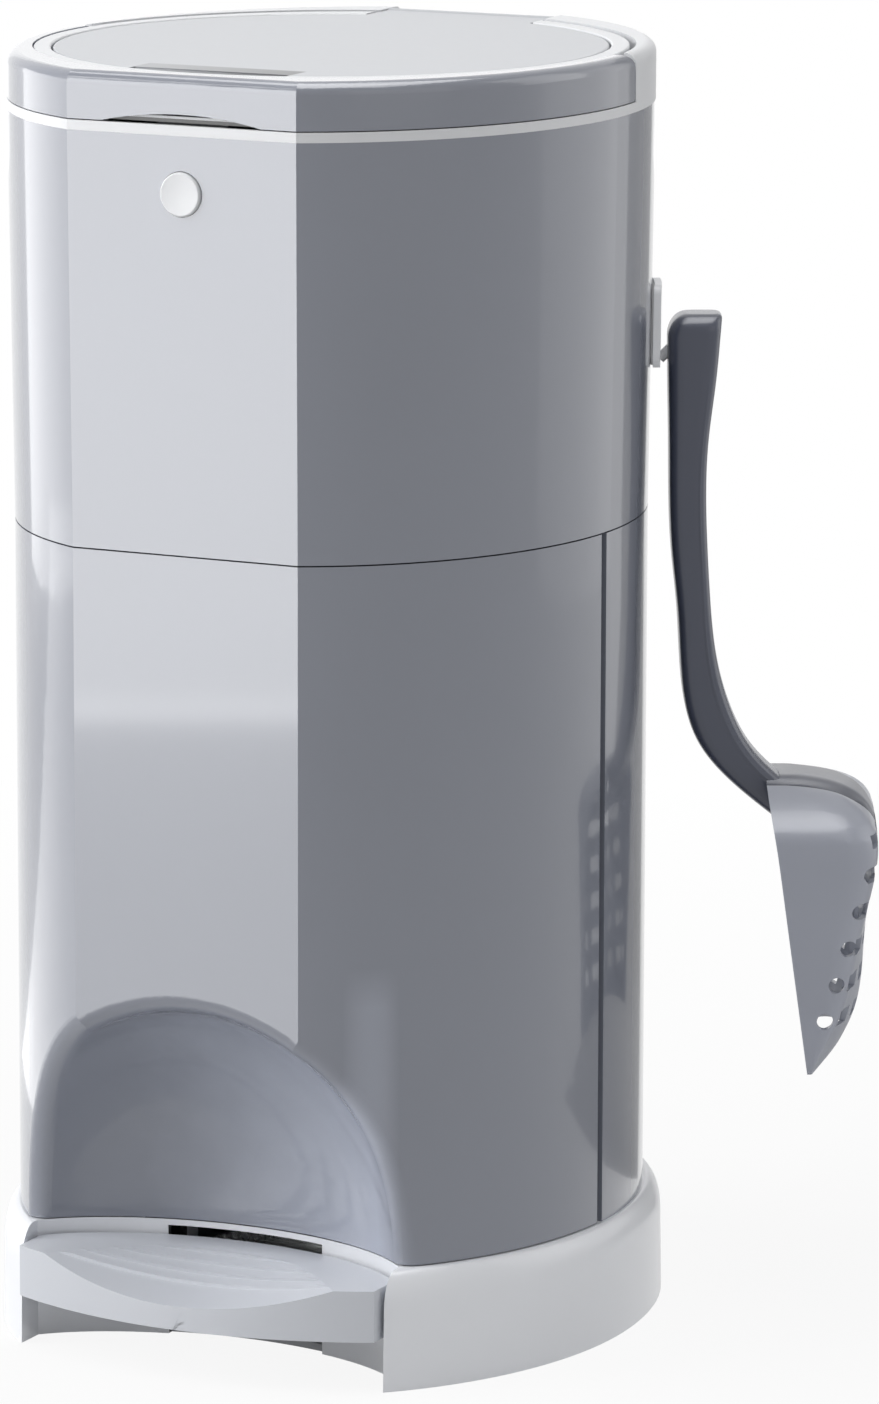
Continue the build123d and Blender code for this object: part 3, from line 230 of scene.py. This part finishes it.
def paintedLightFinish(name, look, factor, mark):
    # painted shade or painted light: a moulded plastic whose colour falls (for a factor above 1, rises) to a factor of
    # itself where the mark, worked out on the piece, is 1
    finish = Finish(name, mouldedPlastic(name, look))
    base = Val(finish.tree, finish.shader.inputs["Base Color"].links[0].from_socket)
    dark = tone(look["colour"], factor)
    mix = finish.make("Mix", {"data_type": "RGBA"}, i0=mark(finish), i6=base, i7=(*dark, 1.0))
    finish.paint(Base_Color=finish.out(mix, 2))
    return finish.material


# painted shade and painted light: where each mark lies, in metres from the pail's axis and the floor, how fast it fades
# in per metre, and the factor that its piece's colour takes there
marks = {
    "hollow": {"side": 0.036, "sideFade": 900, "front": 0.0925, "frontFade": 450, "middle": 0.72, "lean": 9,
               "factor": 0.25},
    "step": {"side": 0.046, "front": (0.1, 0.1321), "factor": 0.12},
    "funnel": {"level": (0.49, 0.5185), "front": 0.03, "fade": 18, "factor": 0.12},
    "slot": {"side": 0.046, "wall": 0.0760, "bow": 3.3, "front": 0.06, "factor": 0.02},
    "niche": {"front": 0.1235, "frontFade": 90, "level": 0.176, "levelFade": 60, "side": 0.085, "sideFade": 60,
              "middle": 0.35, "lean": 8, "patches": 0.2, "factor": 2.0},
}


def sideOf(finish):
    return along(finish, (1, 0, 0))


def frontOf(finish):
    return along(finish, (0, -1, 0))


def levelOf(finish):
    return along(finish, (0, 0, 1))


def hollowPaintedShade(finish):
    # painted shade in the finger hollow at the disc's front edge and on the disc's top just behind it, deeper away from
    # the facet's left
    mark = marks["hollow"]
    side = sideOf(finish)
    front = frontOf(finish)
    inside = ((mark["side"] - side.math("ABSOLUTE")) * mark["sideFade"]).clamp()
    return inside * ((front - mark["front"]) * mark["frontFade"]).clamp() * (mark["middle"] + side * mark["lean"]).clamp()


def collarStepPaintedShade(finish):
    # painted shade on the sunk step behind the collar's rail at the facet
    mark = marks["step"]
    front = frontOf(finish)
    low, high = mark["front"]
    return (sideOf(finish).math("ABSOLUTE") < mark["side"]) * (front < high) * (front > low)


def funnelPaintedShade(finish):
    # painted shade on the ring's funnel and its underside, seen through the gap at the arch, where they lie in the dark
    mark = marks["funnel"]
    low, high = mark["level"]
    level = levelOf(finish)
    return (level < high) * (level > low) * ((frontOf(finish) - mark["front"]) * mark["fade"]).clamp()


def slotPaintedShade(finish):
    # painted shade on the walls behind the lever's slot, where they lie in the dark: behind a wall that bows with the
    # square of the side
    mark = marks["slot"]
    side = sideOf(finish)
    front = frontOf(finish)
    behind = (mark["wall"] + side * side * mark["bow"] - front) > 0.0
    return (side.math("ABSOLUTE") < mark["side"]) * behind * (front > mark["front"])


def nichePaintedLight(finish):
    # painted light: the niche's colour is lightened, in patches and mostly towards its right side, where light thrown
    # up from the pedal falls
    mark = marks["niche"]
    side = sideOf(finish)
    inside = ((mark["front"] - frontOf(finish)) * mark["frontFade"]).clamp()
    inside = inside * ((mark["level"] - levelOf(finish)) * mark["levelFade"]).clamp()
    nearMiddle = ((mark["side"] - side.math("ABSOLUTE")) * mark["sideFade"]).clamp()
    patches = (finish.noise(60.0, 3.0) - 0.5) * mark["patches"]
    return inside * nearMiddle * (mark["middle"] + side * mark["lean"] + patches).clamp()


# a moulded plastic carrying one of the painted shade or painted light marks above
def plasticWithPaintedLight(name, look, mark, paintMark):
    return paintedLightFinish(name, plasticLooks[look], marks[mark]["factor"], paintMark)


# the disc's plastic carries painted shade at its finger hollow
finishes["discGrey"] = plasticWithPaintedLight("discWithPaintedHollowShade", "discGrey", "hollow", hollowPaintedShade)
# pieces with a finish of their own, whatever their slot
ownFinish = {
    # the ring's funnel and underside carry painted shade
    "lid_ring": plasticWithPaintedLight("ringWithPaintedFunnelShade", "collarWhite", "funnel", funnelPaintedShade),
    # the door's niche carries painted light
    "front_door": plasticWithPaintedLight("doorWithPaintedNicheLight", "bodyGrey", "niche", nichePaintedLight),
    # the collar's step behind its rail carries painted shade
    "top_collar": plasticWithPaintedLight("collarWithPaintedStepShade", "collarWhite", "step", collarStepPaintedShade),
    # the base behind the lever's slot carries painted shade
    "base_skirt": plasticWithPaintedLight("baseWithPaintedSlotShade", "baseGrey", "slot", slotPaintedShade),
    "scoop_hook": mouldedPlastic("hookWhite", {"colour": (0.92, 0.93, 0.95), "roughness": 0.4}),
    # the catch is coloured near black as painted shade for the gap under the arch
    "rim_catch": mouldedPlastic("catchPaintedShade", {"colour": (0.12, 0.125, 0.14), "roughness": 0.5}),
}
finishes["steel"] = platedSteel("steel")
finishes["carbon"] = carbonFelt("carbon")
print("finishes made")

slotFinish = {
    "body_grey": "bodyGrey", "base_grey": "baseGrey", "pedal_grey": "pedalGrey", "collar_white": "collarWhite",
    "disc_grey": "discGrey", "inner_grey": "innerGrey", "handle_slate": "handleSlate", "blade_grey": "bladeGrey",
    "steel": "steel", "rubber_foot": "footRubber", "seal_rubber": "sealGrey", "pad_foam": "padFoam",
    "carbon": "carbon", "film_blue": "filmBlue",
}
for part in frame["record"]["subparts"]:
    target = nodes[part["node"]]
    chosen = ownFinish.get(part["node"], finishes[slotFinish[part["material_slot"]]])
    target.data.materials.clear()
    target.data.materials.append(chosen)
print("cad nodes dressed")

# the scoop hangs in its own upright plane: u runs out from the pail, v across the scoop, all in millimetres
scoop = {
    "middle": (111.185, 76.083), "turn": 26.245,
    "inner": [(7, 411), (7.2, 396), (7.8, 368), (9.3, 321), (11.9, 296), (13.4, 272), (21, 239.5), (34, 223.5),
              (52, 208.5)],
    "outer": [(29.1, 411), (28.4, 402), (27.3, 391), (24.6, 368), (24.2, 330), (25.6, 305), (28.4, 278), (35.6, 252),
              (44, 236.5), (56, 224.2)],
    "top": 421.4, "crownReach": 8.0, "crownDrop": 10.4, "roll": 7.0, "lip": 2.2,
    "half": 13.0, "square": 4.6, "rows": 220, "around": 96,
    "bead": 0.5, "beadPlace": (0.72, 0.5), "beadWidth": 0.035,
    "heelNarrow": ([188, 197, 204, 210, 214, 219.5], [1, 0.99, 0.93, 0.83, 0.74, 0.58]),
    "heelLift": ([188, 196, 204, 214, 219.5], [10.0, 8.6, 7.0, 5.2, 4.6]),
    "tipDraw": ([95, 200], [-2.4, 0]), "skew": 0.035,
}
scoopTurn = math.radians(scoop["turn"])
outward = np.array([math.cos(scoopTurn), math.sin(scoopTurn), 0.0])
across = np.array([math.sin(scoopTurn), -math.cos(scoopTurn), 0.0])
scoopFoot = np.array([*scoop["middle"], 0.0])


def smoothThrough(points, count):
    # natural cubic through the points, laid out by the distance between them, read at even steps
    points = np.array(points, float)
    gaps = np.linalg.norm(np.diff(points, axis=0), axis=1)
    knots = np.concatenate([[0.0], np.cumsum(gaps)])
    size = len(points)
    matrix = np.zeros((size, size))
    right = np.zeros((size, 2))
    matrix[0, 0] = matrix[-1, -1] = 1.0
    inside = np.arange(1, size - 1)
    matrix[inside, inside - 1] = gaps[:-1]
    matrix[inside, inside] = 2 * (gaps[:-1] + gaps[1:])
    matrix[inside, inside + 1] = gaps[1:]
    slopes = np.diff(points, axis=0) / gaps[:, None]
    right[1:-1] = 6 * np.diff(slopes, axis=0)
    bends = np.linalg.solve(matrix, right)
    where = np.linspace(0, knots[-1], count)
    span = np.clip(np.searchsorted(knots, where, side="right") - 1, 0, size - 2)
    ahead = (knots[span + 1] - where)[:, None]
    behind = (where - knots[span])[:, None]
    gap = gaps[span][:, None]
    curve = bends[span] * ahead ** 3 / (6 * gap) + bends[span + 1] * behind ** 3 / (6 * gap)
    curve += (points[span] / gap - bends[span] * gap / 6) * ahead
    return curve + (points[span + 1] / gap - bends[span + 1] * gap / 6) * behind


def gridPiece(name, grid):
    # rows of points round a path become quads, each row closed on itself; each end row closes on its own middle point
    rows, columns = grid.shape[:2]
    points = grid.reshape(-1, 3)
    index = np.arange(rows * columns).reshape(rows, columns)
    nextOver = np.roll(index, -1, axis=1)
    faces = np.stack([index[:-1], nextOver[:-1], nextOver[1:], index[1:]], axis=-1).reshape(-1, 4).tolist()
    points = np.vstack([points, grid[0].mean(axis=0), grid[-1].mean(axis=0)])
    first = np.full(columns, rows * columns)
    faces += np.stack([nextOver[0], index[0], first], axis=-1).tolist()
    faces += np.stack([index[-1], nextOver[-1], first + 1], axis=-1).tolist()
    mesh = bpy.data.meshes.new(name)
    mesh.from_pydata((points / 1000).tolist(), [], faces)
    mesh.polygons.foreach_set("use_smooth", np.ones(len(faces), bool))
    mesh.update()
    piece = bpy.data.objects.new(name, mesh)
    bpy.context.scene.collection.objects.link(piece)
    return piece


def quarter(share):
    # how far a quarter circle has come round, for 0 at its start to 1 at its end
    return 1 - np.sqrt(np.clip(1 - np.clip(share, 0, 1) ** 2, 0, 1))


def makeScoopGrip():
    # a rounded oblong carried down between the two outlines; above them level slices shrink in quarter circles
    inner = smoothThrough(scoop["inner"], scoop["rows"])
    outer = smoothThrough(scoop["outer"], scoop["rows"])
    level = scoop["top"] - scoop["crownDrop"] * (1 - np.cos(np.linspace(0, math.pi / 2, 40)[:-1]))
    foot = scoop["top"] - scoop["crownDrop"]
    lean = (level - foot) / scoop["crownDrop"] * 0.8
    left = inner[0, 0] + scoop["crownReach"] * quarter((level - foot) / scoop["crownDrop"])
    right = outer[0, 0] + lean - scoop["lip"] * quarter((level - scoop["top"]) / scoop["lip"] + 1)
    inner = np.vstack([np.stack([left, level], axis=1), inner])
    outer = np.vstack([np.stack([right, level], axis=1), outer])
    middle = (inner + outer) / 2
    reach = (outer - inner) / 2
    inset = scoop["roll"] * quarter((middle[:, 1] - scoop["top"]) / scoop["roll"] + 1)
    angle = np.linspace(0, 2 * math.pi, scoop["around"], endpoint=False)
    side = np.sign(np.cos(angle)) * np.abs(np.cos(angle)) ** (2 / scoop["square"])
    face = np.sign(np.sin(angle)) * np.abs(np.sin(angle)) ** (2 / scoop["square"])
    share = np.linspace(0, 1, len(middle))[:, None]
    place = scoop["beadPlace"][0] + share * (scoop["beadPlace"][1] - scoop["beadPlace"][0])
    bead = scoop["bead"] * np.exp(-(((side[None, :] - place) / scoop["beadWidth"]) ** 2))
    bead = bead * np.clip(share * 5 - 0.8, 0, 1)
    flat = middle[:, None, :] + reach[:, None, :] * side[None, :, None]
    wide = face[None, :] * (scoop["half"] - inset[:, None] + bead)
    grid = scoopFoot + flat[..., :1] * outward + wide[..., None] * across
    grid[..., 2] = flat[..., 1]
    return gridPiece("scoopGrip", grid)


def makeScoopTray():
    # the tray's heel narrows and lifts towards the grip: its width scales and its height grows with height
    source = nodes["scoop_blade"]
    work = bmesh.new()
    work.from_mesh(source.data)
    bmesh.ops.remove_doubles(work, verts=work.verts, dist=1e-6)
    mesh = bpy.data.meshes.new("scoopTray")
    work.to_mesh(mesh)
    work.free()
    points = np.empty(len(mesh.vertices) * 3)
    mesh.vertices.foreach_get("co", points)
    points = points.reshape(-1, 3) * 1000
    level = points[:, 2].copy()
    sideways = (points - scoopFoot) @ across
    width = sideways * np.interp(level, *scoop["heelNarrow"])
    draw = np.interp(level, *scoop["tipDraw"]) + scoop["skew"] * (52 - width)
    points += (width - sideways)[:, None] * across + draw[:, None] * outward
    points[:, 2] += np.interp(level, *scoop["heelLift"])
    mesh.vertices.foreach_set("co", (points / 1000).ravel())
    mesh.polygons.foreach_set("use_smooth", np.ones(len(mesh.polygons), bool))
    mesh.set_sharp_from_angle(angle=math.radians(32))
    mesh.update()
    piece = bpy.data.objects.new("scoopTray", mesh)
    bpy.context.scene.collection.objects.link(piece)
    return piece


def bladeWithBand(name):
    # the blade's own plastic, with the grip's dark plastic running over the heel in a strip that tapers out
    material = mouldedPlastic(name, plasticLooks["bladeGrey"])
    finish = Finish(name, material)
    sideways = along(finish, tuple(across), tuple(scoopFoot / 1000)).math("ABSOLUTE")
    level = along(finish, (0, 0, 1))
    inStrip = (0.0235 - (0.217 - level).math("MAXIMUM", 0.0) * 0.9 - sideways) * 6000
    base = finish.shader.inputs["Base Color"].links[0].from_socket
    dark = plasticLooks["handleSlate"]["colour"]
    mix = finish.make("Mix", {"data_type": "RGBA"}, i0=inStrip.clamp(), i6=Val(finish.tree, base), i7=(*dark, 1.0))
    peel = Val(finish.tree, finish.shader.inputs["Normal"].links[0].from_socket)
    crown = inStrip.clamp() * sideways * sideways * -26.0
    rounded = finish.make("Bump", None, Height=crown, Strength=1.0, Distance=1.0, Normal=peel)
    finish.paint(Base_Color=finish.out(mix, 2), Normal=finish.out(rounded))
    return material


grip = makeScoopGrip()
grip.data.materials.append(finishes["handleSlate"])
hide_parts("scoop_handle")
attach(grip, "scoop")
tray = makeScoopTray()
tray.data.materials.append(bladeWithBand("bladeWithBand"))
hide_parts("scoop_blade")
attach(tray, "scoop")
print("scoop made")

# the button's return spring: its ends touch the button's head and the housing
spring = {"middle": (0.0, 488.6), "front": -130.88, "rear": -126.38, "radius": 7.3, "wire": 0.5,
          "turns": 3.0, "rows": 241, "around": 14}


def makeReturnSpring():
    # a circle of wire carried along a helix round the button's axis, from the button's head back to the housing
    share = np.linspace(0, 1, spring["rows"])
    turn = share * spring["turns"] * 2 * math.pi
    angle = np.linspace(0, 2 * math.pi, spring["around"], endpoint=False)
    radius = spring["radius"] + spring["wire"] * np.cos(angle)[None, :]
    step = spring["front"] + spring["wire"] + share * (spring["rear"] - spring["front"] - 2 * spring["wire"])
    grid = np.empty((len(share), len(angle), 3))
    grid[..., 0] = spring["middle"][0] + radius * np.cos(turn)[:, None]
    grid[..., 2] = spring["middle"][1] + radius * np.sin(turn)[:, None]
    grid[..., 1] = step[:, None] + spring["wire"] * np.sin(angle)[None, :]
    return gridPiece("returnSpring", grid)


coilPiece = makeReturnSpring()
coilPiece.data.materials.append(finishes["steel"])
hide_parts("button_spring")
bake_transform(coilPiece)
print("spring made")


stage = {"floorSize": 16.0, "floorTone": 0.72, "glowNear": 0.9, "glowReach": 1.1, "fill": 0.3,
         "flagAzimuth": 172, "flagDistance": 1.7, "flagWidth": 0.75, "flagTop": 1.3,
         "flagNear": ((0.45, 0.25), (0.1, 0.25))}


def makeFloor():
    half = stage["floorSize"] / 2
    mesh = bpy.data.meshes.new("floor")
    mesh.from_pydata([(-half, -half, 0), (half, -half, 0), (half, half, 0), (-half, half, 0)], [], [(0, 1, 2, 3)])
    floor = bpy.data.objects.new("floor", mesh)
    bpy.context.scene.collection.objects.link(floor)
    finish = Finish("floorPaper")
    grain = finish.noise(3.0, 3.0)
    tones = finish.blendTones(grain, (stage["floorTone"] - 0.01,) * 3, (stage["floorTone"] + 0.01,) * 3)
    finish.paint(Base_Color=tones, Roughness=0.9)
    ray = finish.make("LightPath")
    seen = finish.out(ray, "Is Camera Ray") + finish.out(ray, "Is Glossy Ray") + finish.out(ray, "Is Transmission Ray")
    # the paper glows plain white away from the pail, and a little less beside it, where the shadow falls
    away = finish.out(finish.make("VectorMath", {"operation": "LENGTH"}, i0=finish.place()), "Value")
    spread = ((away - 0.25) / (stage["glowReach"] - 0.25)).clamp()
    glow = finish.make("Emission", None, Color=(1, 1, 1, 1), Strength=1.0)
    mix = finish.make("MixShader", None, i0=seen.clamp() * (stage["glowNear"] + spread * (1 - stage["glowNear"])))
    finish.tree.links.new(finish.shader.outputs[0], mix.inputs[1])
    finish.tree.links.new(glow.outputs[0], mix.inputs[2])
    finish.tree.links.new(mix.outputs[0], finish.tree.nodes["Material Output"].inputs[0])
    mesh.materials.append(finish.material)


makeFloor()


def makeFlag():
    # a grey card far behind on the right, seen in reflections alone, that keeps the pail's right edge from washing out
    bearing = math.radians(stage["flagAzimuth"])
    middle = Vector((math.sin(bearing), -math.cos(bearing), 0)) * stage["flagDistance"]
    side = Vector((math.cos(bearing), math.sin(bearing), 0)) * stage["flagWidth"] / 2
    low = [middle - side, middle + side]
    onFloor = [(*spot[:2], 0.003) for spot in (*stage["flagNear"], *low)]
    corners = onFloor + [(*spot[:2], stage["flagTop"]) for spot in low]
    mesh = bpy.data.meshes.new("flag")
    mesh.from_pydata(corners, [], [(0, 1, 3, 2), (2, 3, 5, 4)])
    flag = bpy.data.objects.new("flag", mesh)
    bpy.context.scene.collection.objects.link(flag)
    finish = Finish("flagCard")
    grain = finish.noise(5.0, 2.0)
    finish.paint(Base_Color=finish.blendTones(grain, (0.42,) * 3, (0.5,) * 3), Roughness=0.9)
    mesh.materials.append(finish.material)
    flag.visible_camera = False
    flag.visible_diffuse = False
    flag.visible_shadow = False


makeFlag()

world = bpy.data.worlds.new("studio")
bpy.context.scene.world = world
world.use_nodes = True
worldTree = world.node_tree
backdrop = worldTree.nodes["Background"]
backdrop.inputs["Color"].default_value = (1, 1, 1, 1)
path = worldTree.nodes.new("ShaderNodeLightPath")
seen = Val(worldTree, path.outputs["Is Camera Ray"])
seen = seen + Val(worldTree, path.outputs["Is Glossy Ray"]) + Val(worldTree, path.outputs["Is Transmission Ray"])
strength = stage["fill"] + seen.clamp() * (1 - stage["fill"])
worldTree.links.new(strength.socket, backdrop.inputs["Strength"])

# each lamp is a soft panel: azimuth in degrees from straight ahead (left is negative), its height and
# distance in metres, its size and how bright its face is; a panel with gloss only shows in reflections
lamps = {
    "keyPanel": {"azimuth": -58, "distance": 2.4, "height": 1.5, "size": (1.8, 2.2), "glow": 3.6},
    "topPanel": {"azimuth": 0, "distance": 0.4, "height": 2.4, "size": (1.6, 1.6), "glow": 1.5},
    "backPanel": {"azimuth": 120, "distance": 2.2, "height": 1.2, "size": (1.2, 2.0), "glow": 0.85},
    "fillPanel": {"azimuth": 62, "distance": 2.4, "height": 1.0, "size": (1.6, 1.6), "glow": 0.28},
    "glintPanel": {"azimuth": 26, "distance": 0.2, "height": 2.3, "size": (1.9, 1.9), "glow": 3.0, "glossOnly": True,
                   "faceDown": True},
    "facetPanel": {"azimuth": -26.5, "distance": 1.5, "height": 0.65, "size": (0.9, 1.3), "glow": 4.8,
                   "glossOnly": True},
    "floorPanel": {"azimuth": -26.5, "distance": 1.0, "height": 0.004, "size": (0.5, 1.1), "glow": 2.2,
                   "glossOnly": True, "faceUp": True},
    "leftFloorPanel": {"azimuth": -86, "distance": 1.2, "height": 0.004, "size": (0.55, 1.6), "glow": 0.8,
                       "glossOnly": True, "faceUp": True},
    "leftPanel": {"azimuth": -92, "distance": 1.8, "height": 0.4, "size": (1.25, 0.8), "glow": 1.4, "glossOnly": True},
    "rightPanel": {"azimuth": 134, "distance": 1.8, "height": 0.7, "size": (1.3, 1.4), "glow": 0.25, "glossOnly": True},
    "rearPanel": {"azimuth": -153, "distance": 2.6, "height": 0.75, "size": (1.6, 1.2), "glow": 0.2, "glossOnly": True},
}
aimLevel = 0.28  # the lamps that light the pail point at this height on its axis
for name, lamp in lamps.items():
    light = bpy.data.lights.new(name, "AREA")
    light.shape = "RECTANGLE"
    light.size, light.size_y = lamp["size"]
    light.energy = 4 * lamp["glow"] * light.size * light.size_y
    holder = bpy.data.objects.new(name, light)
    bearing = math.radians(lamp["azimuth"])
    place = Vector((lamp["distance"] * math.sin(bearing), -lamp["distance"] * math.cos(bearing), lamp["height"]))
    aim = Vector((0, 0, place.z if lamp.get("glossOnly") else aimLevel))
    holder.location = place
    if lamp.get("faceUp") or lamp.get("faceDown"):
        holder.rotation_euler = (math.pi if lamp.get("faceUp") else 0, 0, bearing)
    else:
        holder.rotation_euler = (aim - place).to_track_quat("-Z", "Y").to_euler()
    holder.visible_camera = False
    holder.visible_diffuse = not lamp.get("glossOnly")
    bpy.context.scene.collection.objects.link(holder)

bpy.context.scene.view_settings.view_transform = "Standard"

# the eye stands 3.24 m off, 26.5 degrees round and 11.4 degrees up; the shifts place the pail in the frame
eye = {"distance": 3.24034, "turn": 26.52, "height": 0.892, "dip": 11.39, "lens": 201.62, "shift": (0.07697, 0.03245)}
turn = math.radians(eye["turn"])
camera = bpy.data.cameras.new("camera")
camera.lens = eye["lens"]
camera.shift_x, camera.shift_y = eye["shift"]
camera.clip_end = 50
cameraHolder = bpy.data.objects.new("camera", camera)
cameraHolder.location = (eye["distance"] * math.sin(turn), -eye["distance"] * math.cos(turn), eye["height"])
cameraHolder.rotation_euler = (math.radians(90 - eye["dip"]), 0, turn)
bpy.context.scene.collection.objects.link(cameraHolder)
bpy.context.scene.camera = cameraHolder
print("stage, lamps and camera set")
